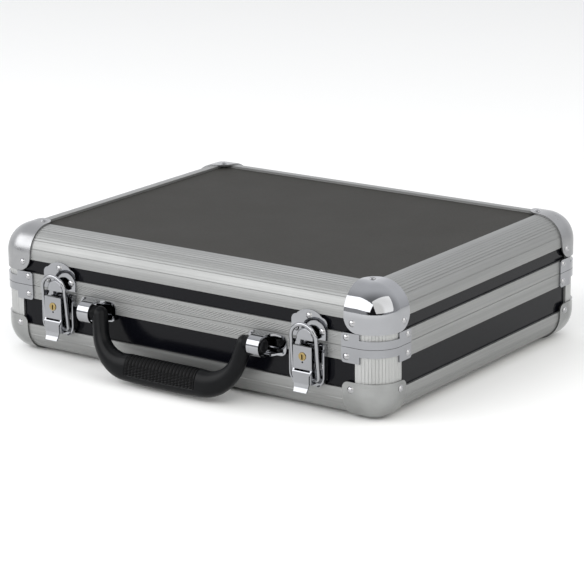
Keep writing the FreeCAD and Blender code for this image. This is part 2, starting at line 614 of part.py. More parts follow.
def latch_plate_rivets(side):
    x, y = side * LATCH_X, FRONT_Y - SHEET
    return [((x - 10.4, y, PARTING - 18), (0, -1, 0)), ((x + 10.4, y, PARTING - 18), (0, -1, 0)),
            ((x, y, PARTING - 27), (0, -1, 0))]


def lever_pin():
    at = (LEVER_PIVOT_OUT, LEVER_PIVOT_Z)
    pin = rod(LEVER_PIN_RADIUS, (-LEVER_HALF - 0.2, -at[0], at[1]), (LEVER_HALF + 0.2, -at[0], at[1]))
    heads = [rod(1.7, (s * (LEVER_HALF + 0.2), -at[0], at[1]), (s * (LEVER_HALF + 0.7), -at[0], at[1]))
             for s in (-1, 1)]
    return pin.fuse(heads).removeSplitter().Solids[0]


def latch_lever():
    """Channel with the keyhole plate in front, and a stepped finger tab that flicks out at its end."""
    inside = LEVER_HALF - SHEET
    low = LEVER_TOP_Z - 1.0
    wall_points = [(-2.2, low), (-LEVER_FRONT, low), (-LEVER_FRONT, LEVER_STEP_Z),
                   (-10.6, LEVER_STEP_Z - 1.2), (-10.6, -30.0), (-4.2, -30.0), (-2.6, -28.5),
                   (-2.6, -9.0), (-2.2, -7.6)]
    wall = extrude(polygon([(inside, y, z) for y, z in wall_points]), (SHEET, 0, 0))
    face = box(-LEVER_HALF, LEVER_HALF, -LEVER_FRONT, -LEVER_FRONT + SHEET, LEVER_STEP_Z, low)
    crown = box(-LEVER_HALF, LEVER_HALF, -LEVER_FRONT, -7.4, low, LEVER_TOP_Z)
    start, end = LEVER_STEP_Z - 1.2, LEVER_END_Z
    tab_points = [(-10.3, start), (-11.1, start), (-11.6, start - 0.6), (-11.6, -29.5), (-12.1, -32.5),
                  (-13.6, end), (-12.5, end), (-11.1, -33.1), (-10.4, -29.5)]
    tab = extrude(polygon([(-LEVER_HALF, y, z) for y, z in tab_points]), (2 * LEVER_HALF, 0, 0))
    waist = polygon([(-LEVER_HALF, -20, start), (LEVER_HALF, -20, start), (LEVER_HALF, -20, start - 1),
                     (LEVER_WAIST, -20, start - 3), (LEVER_WAIST, -20, -30), (LEVER_TIP, -20, end),
                     (-LEVER_TIP, -20, end), (-LEVER_WAIST, -20, -30), (-LEVER_WAIST, -20, start - 3),
                     (-LEVER_HALF, -20, start - 1)])
    tab = tab.common(extrude(waist, (0, 20, 0)))
    lever = face.fuse([wall, mirrored_x(wall), crown, tab]).removeSplitter()
    pivot = rod(LEVER_PIN_RADIUS + HINGE_PLAY, (-20, -LEVER_PIVOT_OUT, LEVER_PIVOT_Z),
                (20, -LEVER_PIVOT_OUT, LEVER_PIVOT_Z))
    bail_hole = rod(BAIL_WIRE + HINGE_PLAY, (-20, -BAIL_PIVOT_OUT, BAIL_PIVOT_Z),
                    (20, -BAIL_PIVOT_OUT, BAIL_PIVOT_Z))
    keyhole = rod(LOCK_RADIUS + LOCK_PLAY, (0, -20, LOCK_Z), (0, 0, LOCK_Z))
    index = rod(0.7, (0, -20, LOCK_Z - 4.3), (0, 0, LOCK_Z - 4.3))
    return lever.cut([pivot, bail_hole, keyhole, index]).Solids[0]


def bail():
    """One bent wire: an arched loop over the keeper's tab, its two ends turned in to the lever's sides.
    Built upright from its pivot, then leaned out over the tab."""
    bend, half = 2.6, BAIL_HALF
    end_x = LEVER_HALF - SHEET - 0.7
    length = math.hypot(BAIL_OUT - BAIL_PIVOT_OUT, BAIL_TOP - BAIL_PIVOT_Z)
    k = bend * (1 - math.sqrt(0.5))
    arc_z = length - half
    path = Part.Wire([
        line((-end_x, 0, 0), (bend - half, 0, 0)),
        arc((bend - half, 0, 0), (k - half, 0, k), (-half, 0, bend)),
        line((-half, 0, bend), (-half, 0, arc_z)),
        arc((-half, 0, arc_z), (0, 0, length), (half, 0, arc_z)),
        line((half, 0, arc_z), (half, 0, bend)),
        arc((half, 0, bend), (half - k, 0, k), (half - bend, 0, 0)),
        line((half - bend, 0, 0), (end_x, 0, 0))])
    section = Part.Wire(Part.makeCircle(BAIL_WIRE, Vector(-end_x, 0, 0), Vector(1, 0, 0)))
    wire = path.makePipeShell([section], True, False, 2).Solids[0]
    lean = math.degrees(math.atan2(BAIL_OUT - BAIL_PIVOT_OUT, BAIL_TOP - BAIL_PIVOT_Z))
    wire.rotate(Vector(0, 0, 0), Vector(1, 0, 0), lean)
    return moved(wire, y=-BAIL_PIVOT_OUT, z=BAIL_PIVOT_Z)


def lock_plug():
    """Brass key plug with its keyway."""
    front, back = -LEVER_FRONT - 0.5, -5.2
    plug = rod(LOCK_RADIUS, (0, front, LOCK_Z), (0, back, LOCK_Z))
    keyway = box(-0.55, 0.55, front - 1, front + 3.4, LOCK_Z - 2.2, LOCK_Z + 1.5)
    return plug.cut(keyway)


def lock_cam():
    """Tongue on the back of the plug, which turns behind the keyhole plate."""
    back = -5.2
    hub = rod(2.4, (0, back, LOCK_Z), (0, back + 1.2, LOCK_Z))
    tongue = box(-1.8, 1.8, back, back + 1.2, LOCK_Z - 5.2, LOCK_Z)
    return hub.fuse(tongue).removeSplitter().Solids[0]


# ---- handle and its brackets ----
def handle_bracket():
    """A D-shaped loop that narrows outwards, on a foot with rounded ends, opening to both sides."""
    foot_top, foot_low = BRACKET_Z + 6.9, BRACKET_Z - 8.4
    foot = box(-BRACKET_FOOT_HALF, BRACKET_FOOT_HALF, -SHEET, 0, foot_low, foot_top)
    ends = [e for e in foot.Edges if e.BoundBox.XLength < 1e-6 and e.BoundBox.ZLength < 1e-6]
    foot = foot.makeFillet(BRACKET_FOOT_BEND, ends)

    def loop(radius, back_y, bend, half):
        z, k = BRACKET_Z, bend * (1 - math.sqrt(0.5))
        low, high = z - radius, z + radius
        wire = Part.Wire([
            line((-half, back_y - bend, low), (-half, -BRACKET_OUT, low)),
            arc((-half, -BRACKET_OUT, low), (-half, -BRACKET_OUT - radius, z), (-half, -BRACKET_OUT, high)),
            line((-half, -BRACKET_OUT, high), (-half, back_y - bend, high)),
            arc((-half, back_y - bend, high), (-half, back_y - k, high - k), (-half, back_y, high - bend)),
            line((-half, back_y, high - bend), (-half, back_y, low + bend)),
            arc((-half, back_y, low + bend), (-half, back_y - k, low + k), (-half, back_y - bend, low))])
        return extrude(wire, (2 * half, 0, 0))
    wall = BRACKET_OUTER - BRACKET_INNER
    root_half = BRACKET_WAIST_HALF + BRACKET_FLARE
    outer = loop(BRACKET_OUTER, -SHEET / 2, BRACKET_ROOT_BEND, root_half)
    ring = outer.cut(loop(BRACKET_INNER, -SHEET, BRACKET_ROOT_BEND - wall, root_half + 5))
    root, waist, tip = SHEET, SHEET + BRACKET_FLARE + 1, BRACKET_OUT + BRACKET_OUTER + 0.1
    k = BRACKET_FLARE * (1 - math.sqrt(0.5))
    low = BRACKET_Z - 2 * BRACKET_OUTER

    def flank(s):
        return [line((s * root_half, -root, low), (s * root_half, BRACKET_FLARE - waist, low)),
                arc((s * root_half, BRACKET_FLARE - waist, low),
                    (s * (BRACKET_WAIST_HALF + k), BRACKET_FLARE - waist - k, low),
                    (s * BRACKET_WAIST_HALF, -waist, low)),
                line((s * BRACKET_WAIST_HALF, -waist, low), (s * BRACKET_TIP_HALF, -tip, low))]
    ends = [line((-BRACKET_TIP_HALF, -tip, low), (BRACKET_TIP_HALF, -tip, low)),
            line((-root_half, -root, low), (root_half, -root, low))]
    plan = Part.Wire(Part.__sortEdges__(flank(1) + flank(-1) + ends))
    ring = ring.common(extrude(plan, (0, 0, 4 * BRACKET_OUTER)))
    return foot.fuse(ring).removeSplitter().Solids[0]


def handle():
    """Moulded handle held in its brackets: bosses, arms that thicken round their bend, and a grip. Built
    hanging straight down from the pivot axis, then swung out to where it rests."""
    depth = HANDLE_GRIP_OFF
    shoulder = Vector(HANDLE_ARM_X, 0, 0)
    corner, middle = Vector(HANDLE_CORNER_X, 0, -depth), Vector(0, 0, -depth)
    up, along = (shoulder - corner).normalize(), (middle - corner).normalize()
    half_turn = (math.pi - up.getAngle(along)) / 2
    start = corner + up * (HANDLE_BEND * math.tan(half_turn))
    end = corner + along * (HANDLE_BEND * math.tan(half_turn))
    centre = corner + (up + along).normalize() * (HANDLE_BEND / math.cos(half_turn))
    bend = Part.Arc(start, centre + (corner - centre).normalize() * HANDLE_BEND, end).toShape()
    thin = Part.Wire(Part.makeCircle(HANDLE_ARM_RADIUS, start, up * -1))
    thick = Part.Wire(Part.makeCircle(HANDLE_END_RADIUS, end, along))
    half = Part.Wire(bend).makePipeShell([thin, thick], True, False, 2).Solids[0]
    half = half.fuse([rod(HANDLE_ARM_RADIUS, shoulder, start), Part.makeSphere(HANDLE_ARM_RADIUS, shoulder),
                      rod(BOSS_RADIUS, (HANDLE_ARM_X, 0, 0), (BOSS_END, 0, 0))])
    grip = Part.makeCylinder(1.0, 2 * GRIP_HALF_LENGTH, Vector(-GRIP_HALF_LENGTH, 0, 0), Vector(1, 0, 0))
    stretch = FreeCAD.Matrix()
    stretch.A22, stretch.A33 = GRIP_HALF_THICK, GRIP_HALF_DEEP
    grip = moved(grip.transformGeometry(stretch), z=GRIP_RISE - depth)
    whole = half.fuse([mirrored_x(half), grip]).removeSplitter().Solids[0]
    whole.rotate(Vector(0, 0, 0), Vector(1, 0, 0), HANDLE_DROP - 90)
    return moved(whole, HANDLE_SHIFT, FRONT_Y - BRACKET_OUT, PARTING + BRACKET_Z)


# ---- hinges, built with the back face at Y = 0 and outwards at -Y, then taken to the back ----
def knuckle_spans():
    pitch = HINGE_LENGTH / KNUCKLES
    starts = [n * pitch - HINGE_LENGTH / 2 for n in range(KNUCKLES)]
    return [(x + KNUCKLE_GAP / 2, x + pitch - KNUCKLE_GAP / 2) for x in starts]


def hinge_leaf(up, numbers, bore):
    """One leaf with its knuckles: up is 1 for the lid's and -1 for the base's."""
    half = HINGE_LENGTH / 2 - KNUCKLE_GAP / 2
    low, high = sorted((up * LEAF_PARTING, up * HINGE_LEAF_HEIGHT))
    leaf = box(-half, half, -HINGE_LEAF, 0, low, high)
    web_low, web_high = sorted((up * LEAF_PARTING, up * KNUCKLE_WEB))
    own, other = [], []
    for n, (x0, x1) in enumerate(knuckle_spans()):
        if n in numbers:
            own.append(rod(KNUCKLE_RADIUS, (x0, -HINGE_OUT, 0), (x1, -HINGE_OUT, 0)))
            own.append(box(x0, x1, -HINGE_OUT, 0, web_low, web_high))
        else:
            start, end = (x0 - KNUCKLE_GAP, -HINGE_OUT, 0), (x1 + KNUCKLE_GAP, -HINGE_OUT, 0)
            other.append(rod(KNUCKLE_RADIUS + KNUCKLE_CLEAR, start, end))
    solid = leaf.cut(Part.Compound(other)).fuse(own).removeSplitter()
    return solid.cut(rod(bore, (-50, -HINGE_OUT, 0), (50, -HINGE_OUT, 0))).Solids[0]


def at_hinge(shape, side):
    return on_side(moved(shape, side * HINGE_X, z=PARTING), "back")


def hinge_rivets(up):
    out = []
    for side in (-1, 1):
        for x in (-24, 0, 24):
            out.append(((side * HINGE_X + x, BACK_Y + HINGE_LEAF, PARTING + up * 6.0), (0, 1, 0)))
    return out


def main():
    keeper_pins = keeper_rivets(-1) + keeper_rivets(1)
    plate_pins = latch_plate_rivets(-1) + latch_plate_rivets(1)
    make_lid(keeper_pins + hinge_rivets(1))
    make_base(plate_pins + hinge_rivets(-1))
    for side, name in ((-1, "left"), (1, "right")):
        write(f"latch_keeper_{name}", *pierce([at_latch(keeper_plate(), side)], keeper_pins))
        write(f"latch_plate_{name}", *pierce([at_latch(latch_plate(), side)], plate_pins))
        write(f"latch_pin_{name}", at_latch(lever_pin(), side))
        write(f"latch_lever_{name}", at_latch(latch_lever(), side))
        write(f"latch_bail_{name}", at_latch(bail(), side))
        write(f"lock_plug_{name}", at_latch(lock_plug(), side))
        write(f"lock_cam_{name}", at_latch(lock_cam(), side))
        write(f"handle_bracket_{name}", moved(handle_bracket(), side * BRACKET_X, FRONT_Y, PARTING))
    write("handle", handle())
    lid_leaf = hinge_leaf(1, (1, 3), HINGE_PIN_RADIUS + HINGE_PLAY)
    base_leaf = hinge_leaf(-1, (0, 2, 4), HINGE_PIN_RADIUS)
    end = HINGE_LENGTH / 2 - KNUCKLE_GAP / 2
    pin = rod(HINGE_PIN_RADIUS, (-end, -HINGE_OUT, 0), (end, -HINGE_OUT, 0))
    write("hinge_leaves_lid", *pierce([at_hinge(lid_leaf, s) for s in (-1, 1)], hinge_rivets(1)))
    write("hinge_leaves_base", *pierce([at_hinge(base_leaf, s) for s in (-1, 1)], hinge_rivets(-1)))
    write("hinge_pins", *[at_hinge(pin, s) for s in (-1, 1)])


main()
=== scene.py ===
"""Looks of the art supply case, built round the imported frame. Metres, +Z up, the front at -Y."""

import json
import math

import bmesh
import bpy
from mathutils import Matrix, Vector


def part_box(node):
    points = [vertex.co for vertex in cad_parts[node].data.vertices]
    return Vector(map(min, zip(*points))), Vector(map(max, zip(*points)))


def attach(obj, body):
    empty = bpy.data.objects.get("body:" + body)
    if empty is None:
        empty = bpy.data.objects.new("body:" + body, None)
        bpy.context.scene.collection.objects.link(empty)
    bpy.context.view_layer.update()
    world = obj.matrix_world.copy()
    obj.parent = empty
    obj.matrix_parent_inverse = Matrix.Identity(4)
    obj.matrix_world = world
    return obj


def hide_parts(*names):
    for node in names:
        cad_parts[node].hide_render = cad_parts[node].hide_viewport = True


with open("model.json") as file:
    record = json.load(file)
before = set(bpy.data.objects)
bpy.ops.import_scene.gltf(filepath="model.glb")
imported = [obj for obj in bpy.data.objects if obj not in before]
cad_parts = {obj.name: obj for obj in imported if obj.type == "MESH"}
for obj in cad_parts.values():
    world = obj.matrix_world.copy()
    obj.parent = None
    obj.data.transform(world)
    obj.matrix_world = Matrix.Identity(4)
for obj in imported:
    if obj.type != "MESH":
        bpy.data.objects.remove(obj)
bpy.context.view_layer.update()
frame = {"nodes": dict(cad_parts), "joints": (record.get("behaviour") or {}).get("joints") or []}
nodes = frame["nodes"]
joints = {joint["name"]: joint for joint in frame["joints"]}
MM = 0.001
PIVOT_DROP = 7.8 * MM            # the handle turns this far below the parting line
SIDES = {"front": 0, "right": 1, "back": 0, "left": 1}   # the axis each side runs along: X or Y

# ---- places that follow from the frame ----
FRONT_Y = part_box("base_rim_front")[0].y
BACK_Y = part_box("base_rim_back")[1].y
MIDDLE_Y = (FRONT_Y + BACK_Y) / 2
PIVOT = Vector(joints["handle_hinge"]["pos_m"])
PARTING = PIVOT.z + PIVOT_DROP


# ---- materials ----
NOISE_ROUGHNESS = 0.55
STREAK_SHARE = 0.45


class Surface:
    """A procedural material: a Principled shader, with patterns in the object's own metres."""

    def __init__(self, name, color, roughness, metallic=0.0, specular=0.5):
        self.material = bpy.data.materials.new(name)
        self.material.use_nodes = True
        self.tree = self.material.node_tree
        self.shader = self.tree.nodes["Principled BSDF"]
        self.color = color
        self.set("Base Color", (*color, 1.0))
        self.set("Roughness", roughness)
        self.set("Metallic", metallic)
        self.set("Specular IOR Level", specular)
        self.place = self.tree.nodes.new("ShaderNodeTexCoord").outputs["Object"]

    def set(self, socket, value):
        self.shader.inputs[socket].default_value = value

    def node(self, kind, inputs=(), **settings):
        made = self.tree.nodes.new(kind)
        for key, value in settings.items():
            setattr(made, key, value)
        for key, value in dict(inputs).items():
            if isinstance(value, bpy.types.NodeSocket):
                self.tree.links.new(value, made.inputs[key])
            else:
                made.inputs[key].default_value = value
        return made

    def noise(self, scale, detail=4.0, shift=0.0):
        """Noise with a scale for each axis, in cycles per metre."""
        mapping = self.node("ShaderNodeMapping", {"Vector": self.place, "Scale": scale,
                                                  "Location": (shift,) * 3})
        made = self.node("ShaderNodeTexNoise", {"Vector": mapping.outputs[0], "Scale": 1.0,
                                                "Detail": detail, "Roughness": NOISE_ROUGHNESS})
        return made.outputs["Fac"]

    def cells(self, scale):
        made = self.node("ShaderNodeTexVoronoi", {"Vector": self.place, "Scale": scale})
        return made.outputs["Distance"]

    def spread(self, factor, low, high, start=0.3, end=0.7):
        made = self.node("ShaderNodeMapRange", {"Value": factor, "From Min": start, "From Max": end,
                                                "To Min": low, "To Max": high})
        return made.outputs["Result"]

    def to_color(self, factor, dark, light, start=0.3, end=0.7):
        """Colour between two shades of the base colour, as the factor goes from start to end."""
        ramp = self.node("ShaderNodeValToRGB", {"Fac": factor})
        ramp.color_ramp.elements[0].position = start
        ramp.color_ramp.elements[1].position = end
        ramp.color_ramp.elements[0].color = (*[c * dark for c in self.color], 1.0)
        ramp.color_ramp.elements[1].color = (*[c * light for c in self.color], 1.0)
        self.tree.links.new(ramp.outputs["Color"], self.shader.inputs["Base Color"])

    def to_roughness(self, factor, low, high, start=0.3, end=0.7):
        self.tree.links.new(self.spread(factor, low, high, start, end), self.shader.inputs["Roughness"])

    def bump(self, factor, distance, strength=1.0):
        made = self.node("ShaderNodeBump", {"Height": factor, "Distance": distance, "Strength": strength})
        if self.shader.inputs["Normal"].is_linked:
            self.tree.links.new(self.shader.inputs["Normal"].links[0].from_socket, made.inputs["Normal"])
        self.tree.links.new(made.outputs["Normal"], self.shader.inputs["Normal"])


def stretched(axis, along, across):
    """Scales for lines that run along an axis."""
    return tuple(along if n == axis else across for n in range(3))


def aluminium(name, axis, shade=0.325):
    """Satin anodised extrusion: draw lines along its length, cloudy handling marks, fine pits."""
    s = Surface(name, (shade, shade * 1.01, shade), 0.55, metallic=1.0)
    lines = s.noise(stretched(axis, 2.5, 900.0), detail=3.0)
    streaks = s.noise(stretched(axis, 4.0, 220.0), detail=5.0, shift=3.0)
    clouds = s.noise((14.0, 14.0, 14.0), detail=5.0, shift=7.0)
    mixed = s.node("ShaderNodeMix", {0: STREAK_SHARE, 2: lines, 3: streaks}, data_type="FLOAT").outputs[0]
    s.to_color(mixed, 0.90, 1.07, 0.35, 0.65)
    s.to_roughness(clouds, 0.50, 0.60)
    s.bump(lines, 0.00004, 0.5)
    s.bump(s.noise((1500.0,) * 3, detail=2.0), 0.00001, 0.4)
    return s.material


def chrome(name, color, roughness, smear, dented=1.0):
    """Plated pressing: wipe marks in the gloss, waviness from the press, tiny pits."""
    s = Surface(name, color, roughness, metallic=1.0)
    wipes = s.noise((60.0, 60.0, 140.0), detail=6.0)
    s.to_roughness(wipes, roughness * (1 - smear), roughness * (1 + smear))
    s.to_color(s.noise((35.0,) * 3, detail=4.0, shift=2.0), 1.0 - 0.05 * dented, 1.0 + 0.03 * dented)
    s.bump(s.noise((85.0,) * 3, detail=1.0, shift=5.0), 0.00012 * dented ** 2, 0.35)
    s.bump(s.cells(1400.0), 0.000008, 0.3)
    return s.material


def laminate(name, color, roughness, specular, grain):
    """Pressed laminate: pebbled skin, a speckled shade and a few wipe marks."""
    s = Surface(name, color, roughness, specular=specular)
    s.to_color(s.noise((1100.0,) * 3, detail=3.0), 0.88, 1.12)
    wipes = s.noise((22.0, 22.0, 40.0), detail=7.0, shift=4.0)
    s.to_roughness(wipes, roughness * 0.96, roughness * 1.04)
    s.bump(s.noise((1800.0,) * 3, detail=3.0), grain, 0.8)
    s.bump(s.cells(900.0), grain * 0.8, 0.5)
    return s.material


def moulded(name, color, roughness, grain):
    """Satin black plastic with a fine spark-eroded texture and a cloudy gloss."""
    s = Surface(name, color, roughness, specular=0.12)
    s.to_color(s.noise((30.0,) * 3, detail=5.0), 0.85, 1.2)
    s.to_roughness(s.noise((45.0,) * 3, detail=6.0, shift=1.0), roughness * 0.85, roughness * 1.15)
    s.bump(s.noise((2200.0,) * 3, detail=3.0), grain, 0.7)
    return s.material


def foam():
    """Open-cell foam: a cellular, slightly fuzzy skin with soft unevenness."""
    s = Surface("black_foam", (0.018, 0.018, 0.02), 0.95, specular=0.2)
    s.set("Sheen Weight", 0.25)
    s.set("Sheen Roughness", 0.5)
    s.to_color(s.cells(700.0), 0.7, 1.6, 0.05, 0.6)
    s.bump(s.cells(700.0), 0.0002, 0.8)
    s.bump(s.noise((60.0,) * 3, detail=4.0), 0.0004, 0.4)
    return s.material


def brass():
    """Machined brass: dark specks and fine tool marks."""
    s = Surface("lock_brass", (0.36, 0.27, 0.115), 0.27, metallic=1.0)
    s.to_color(s.noise((900.0,) * 3, detail=4.0), 0.75, 1.15)
    s.bump(s.noise((2500.0, 300.0, 2500.0), detail=2.0), 0.00002, 0.5)
    return s.material


ALUMINIUM = [aluminium(f"satin_aluminium_{axis}", n) for n, axis in enumerate("xy")]
POST_ALUMINIUM = aluminium("post_aluminium", 2, 0.46)
CHROME = chrome("bright_chrome", (0.34, 0.345, 0.36), 0.05, 0.5, 1.3)
SOFT_CHROME = chrome("dull_chrome", (0.31, 0.315, 0.312), 0.15, 0.35, 4.0)
PLATED = chrome("plated_steel", (0.31, 0.315, 0.33), 0.08, 0.4, 1.6)
NICKEL = chrome("rivet_nickel", (0.40, 0.40, 0.41), 0.2, 0.3)
# a darker, rougher copy of the chrome for three of the lid's corners: its darker colour is painted shade
SHADED_CORNER_CHROME = chrome("shaded_corner_chrome", (0.31, 0.312, 0.318), 0.34, 0.25)
TOP_LAMINATE = laminate("top_laminate", (0.040, 0.0388, 0.036), 0.6, 0.05, 0.00004)
BLACK_LAMINATE = laminate("black_laminate", (0.003, 0.0032, 0.0048), 0.14, 0.14, 0.000012)
HANDLE_PLASTIC = moulded("handle_plastic", (0.0035, 0.0038, 0.0045), 0.32, 0.00002)
GRIP_RUBBER = moulded("grip_rubber", (0.003, 0.0031, 0.0036), 0.38, 0.000012)
FOAM = foam()
BRASS = brass()


def paint(name, material):
    """Gives a CAD node its material."""
    mesh = nodes[name].data
    mesh.materials.clear()
    mesh.materials.append(material)


def paint_frame():
    """Materials of every CAD node."""
    for part in ("base", "lid"):
        for side, along in SIDES.items():
            paint(f"{part}_edge_{side}", ALUMINIUM[along])
            paint(f"{part}_rim_{side}", ALUMINIUM[along])
            paint(f"{part}_board_{side}", BLACK_LAMINATE)
        paint(f"{part}_corner_posts", POST_ALUMINIUM)
        paint(f"{part}_rim_clamps", PLATED)
        paint(f"{part}_rivets", NICKEL)
        paint(f"{part}_lining", FOAM)
    paint("base_ball_corners", SOFT_CHROME)
    paint("base_board_bottom", BLACK_LAMINATE)
    paint("lid_board_top", TOP_LAMINATE)
    for name in ("hinge_leaves_base", "hinge_leaves_lid", "hinge_pins"):
        paint(name, PLATED)
    for side in ("left", "right"):
        paint(f"lock_plug_{side}", BRASS)
        for name in ("latch_plate", "latch_pin", "lock_cam", "latch_lever", "latch_keeper"):
            paint(f"{name}_{side}", PLATED)
        for name in ("handle_bracket", "latch_bail"):
            paint(f"{name}_{side}", CHROME)


# ---- pieces ----
def piece(name, mesh, material, body, replaced=(), smooth=True):
    """A new piece that rides on a body, with its material; the nodes it stands for are hidden."""
    mesh.materials.clear()
    mesh.materials.append(material)
    if smooth:
        mesh.shade_smooth()
    obj = bpy.data.objects.new(name, mesh)
    bpy.context.scene.collection.objects.link(obj)
    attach(obj, body)
    if replaced:
        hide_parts(*replaced)
    return obj


def mesh_of(name, bm):
    bmesh.ops.recalc_face_normals(bm, faces=bm.faces)
    mesh = bpy.data.meshes.new(name)
    bm.to_mesh(mesh)
    bm.free()
    return mesh


def skin(bm, rings, closed_ends=True):
    """Faces between successive rings of points, with a fan at each end."""
    loops = [[bm.verts.new(p) for p in ring] for ring in rings]
    for a, b in zip(loops, loops[1:]):
        for n in range(len(a)):
            bm.faces.new((a[n - 1], a[n], b[n], b[n - 1]))
    if closed_ends:
        for loop, ring in ((loops[0], rings[0]), (loops[-1], rings[-1])):
            middle = bm.verts.new(sum((Vector(p) for p in ring), Vector()) / len(ring))
            for n in range(len(loop)):
                bm.faces.new((loop[n - 1], loop[n], middle))


# ---- the handle ----
# u is along X, w from the pivot axis down its plane, t out of the plane
HANGING = math.radians(76.0)
DOWN = Vector((0, -math.cos(HANGING), -math.sin(HANGING)))
OUT = Vector((0, -math.sin(HANGING), math.cos(HANGING)))
HANDLE_SHIFT = (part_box("handle")[0].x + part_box("handle")[1].x) / 2
ARM_TOP = 66.3 * MM
CORNER = 58.2 * MM
GRIP_OFF = 34.6 * MM
BEND = 28.6 * MM
ARM_RADIUS = 6.0 * MM
GRIP_INNER = 23.6 * MM          # the grip's inner and outer edges from the pivot axis
GRIP_OUTER = 44.7 * MM
GRIP_CROWN = 0.9 * MM           # the outer edge's crown
GRIP_THICK = 7.9 * MM
GRIP_MIDDLE = 0.25 * MM         # its centreline lies this far past the middle of its edges
GRIP_SKIN = 0.35 * MM           # and its skin this far inside them
CROWN_REACH = 40 * MM
SWELL_START, SWELL_RUN, SWELL_DEPTH = 12 * MM, 44 * MM, 4.1 * MM    # the arm thickens towards the grip
LEVEL_START, LEVEL_RUN = 44 * MM, 16 * MM       # and then takes up the grip's own shape
SQUARENESS, SQUARE_RUN = 0.12, 50 * MM          # how far its section goes from round to square
BOSS_RADIUS = 5.9 * MM
BOSS_END = 82.8 * MM
BOSS_FACE = [(0.0, 1.0), (0.3, 0.3), (1.0, 0.0), (2.4, 0.0), (2.7, 0.7)]  # rounded end with a dimple, in mm
INSERT_HALF = 31.5 * MM
INSERT_TURN = math.radians(118)  # how far the insert wraps from the grip's inner edge
POCKET_DEPTH = 1.5 * MM
POCKET_PLAY, POCKET_TURN_PLAY = 0.3 * MM, 0.03
RIB_PITCH = 3.1 * MM
RIB_DEPTH = 1.3 * MM
KNOB_START = 0.6                # share of the wrap where the ribs break into knobs
KNOB_ROWS = 4.5
RIM_WIDTH = 1.0 * MM            # a plain rim closes the ribs at both ends
RING = 96
DOME_STEPS = 8
ARM_STEPS = 150
ARM_LENGTH = 86.0 * MM          # from the arm's top to past the middle of the grip
MIDDLE_GAP = 0.2 * MM
INSERT_COLUMNS, INSERT_ROWS = 330, 110


def on_handle(u, w, t):
    return PIVOT + Vector((u + HANDLE_SHIFT, 0, 0)) + DOWN * w + OUT * t


def smoothstep(x):
    x = min(1.0, max(0.0, x))
    return x * x * (3 - 2 * x)


def spine(distance):
    """Centreline of the right arm at a distance from its top: (u, w), and its direction."""
    run = Vector((CORNER - ARM_TOP, GRIP_OFF))
    way = run.normalized()
    turn = math.acos(-way.x)
    tangent = BEND * math.tan(turn / 2)
    straight = run.length - tangent
    if distance < straight:
        return Vector((ARM_TOP, 0)) + way * distance, way
    centre = Vector((CORNER - tangent, GRIP_OFF - BEND))
    angle = (distance - straight) / BEND
    if angle < turn:
        side = Vector((way.y, -way.x))
        arm = Vector((side.x * math.cos(angle) + way.x * math.sin(angle),
                      side.y * math.cos(angle) + way.y * math.sin(angle)))
        return centre + arm * BEND, Vector((-arm.y, arm.x))
    return centre + Vector((straight + turn * BEND - distance, BEND)), Vector((-1, 0))


def grip_edges(u):
    return GRIP_INNER, GRIP_OUTER + GRIP_CROWN * (1 - (u / CROWN_REACH) ** 2)


def handle_section(distance):
    """Centre, outward direction and two half-sizes of the moulding at a distance along the arm."""
    at, way = spine(distance)
    side = Vector((way.y, -way.x))
    grown = smoothstep((distance - SWELL_START) / SWELL_RUN)
    deep = ARM_RADIUS + grown * SWELL_DEPTH
    thick = ARM_RADIUS + grown * (GRIP_THICK - ARM_RADIUS)
    inner, outer = grip_edges(at.x)
    level = smoothstep((distance - LEVEL_START) / LEVEL_RUN)
    middle = (inner + outer) / 2 + GRIP_MIDDLE
    at = Vector((at.x, at.y * (1 - level) + middle * level))
    deep = deep * (1 - level) + ((outer - inner) / 2 - GRIP_SKIN) * level
    return at, side, deep, thick


def squared(angle, power):
    """Cosine and sine of an angle, squared off by a power below 1."""
    return [math.copysign(abs(v) ** power, v) for v in (math.cos(angle), math.sin(angle))]


def handle_ring(at, side, deep, thick, power):
    """One ring of the moulding; under the insert it steps in to make the insert's pocket."""
    points = []
    pocketed = abs(at.x) < INSERT_HALF + POCKET_PLAY and at.y > GRIP_OFF * 0.9
    for n in range(RING):
        a = 2 * math.pi * n / RING
        c, s = squared(a, power)
        sunk = POCKET_DEPTH if pocketed and abs(a - math.pi) < INSERT_TURN + POCKET_TURN_PLAY else 0.0
        reach = (deep - sunk) * c
        points.append((at.x + side.x * reach, at.y + side.y * reach, (thick - sunk) * s))
    return points


def handle_moulding():
    """Arms, rounded shoulders and grip body in one skin, and the two bosses that turn in the brackets."""
    rings = []
    # a domed shoulder at the arm's top, then the arm, down to the middle of the grip
    at, side, deep, thick = handle_section(0)
    for n in range(1, DOME_STEPS):
        a = math.pi / 2 * n / DOME_STEPS
        up = at - spine(0)[1] * ARM_RADIUS * math.cos(a)
        rings.append(handle_ring(up, side, deep * math.sin(a), thick * math.sin(a), 1.0))
    for n in range(ARM_STEPS + 1):
        distance = ARM_LENGTH * n / ARM_STEPS
        at, side, deep, thick = handle_section(distance)
        if at.x < MIDDLE_GAP:
            break
        power = 1.0 - SQUARENESS * smoothstep(distance / SQUARE_RUN)
        rings.append(handle_ring(at, side, deep, thick, power))
    mirror = [[(-u, w, t) for u, w, t in ring] for ring in reversed(rings)]
    bm = bmesh.new()
    skin(bm, [[on_handle(*p) for p in ring] for ring in rings + mirror])
    turns = [2 * math.pi * n / RING for n in range(RING)]
    for s in (-1, 1):
        boss = [(BOSS_RADIUS, ARM_TOP)]
        boss += [(BOSS_RADIUS - inset * MM, BOSS_END - back * MM) for inset, back in BOSS_FACE]
        skin(bm, [[on_handle(s * u, r * math.cos(a), r * math.sin(a)) for a in turns] for r, u in boss])
    mesh = mesh_of("handle_moulding", bm)
    piece("handle_moulding", mesh, HANDLE_PLASTIC, "carry_handle", ["handle"])


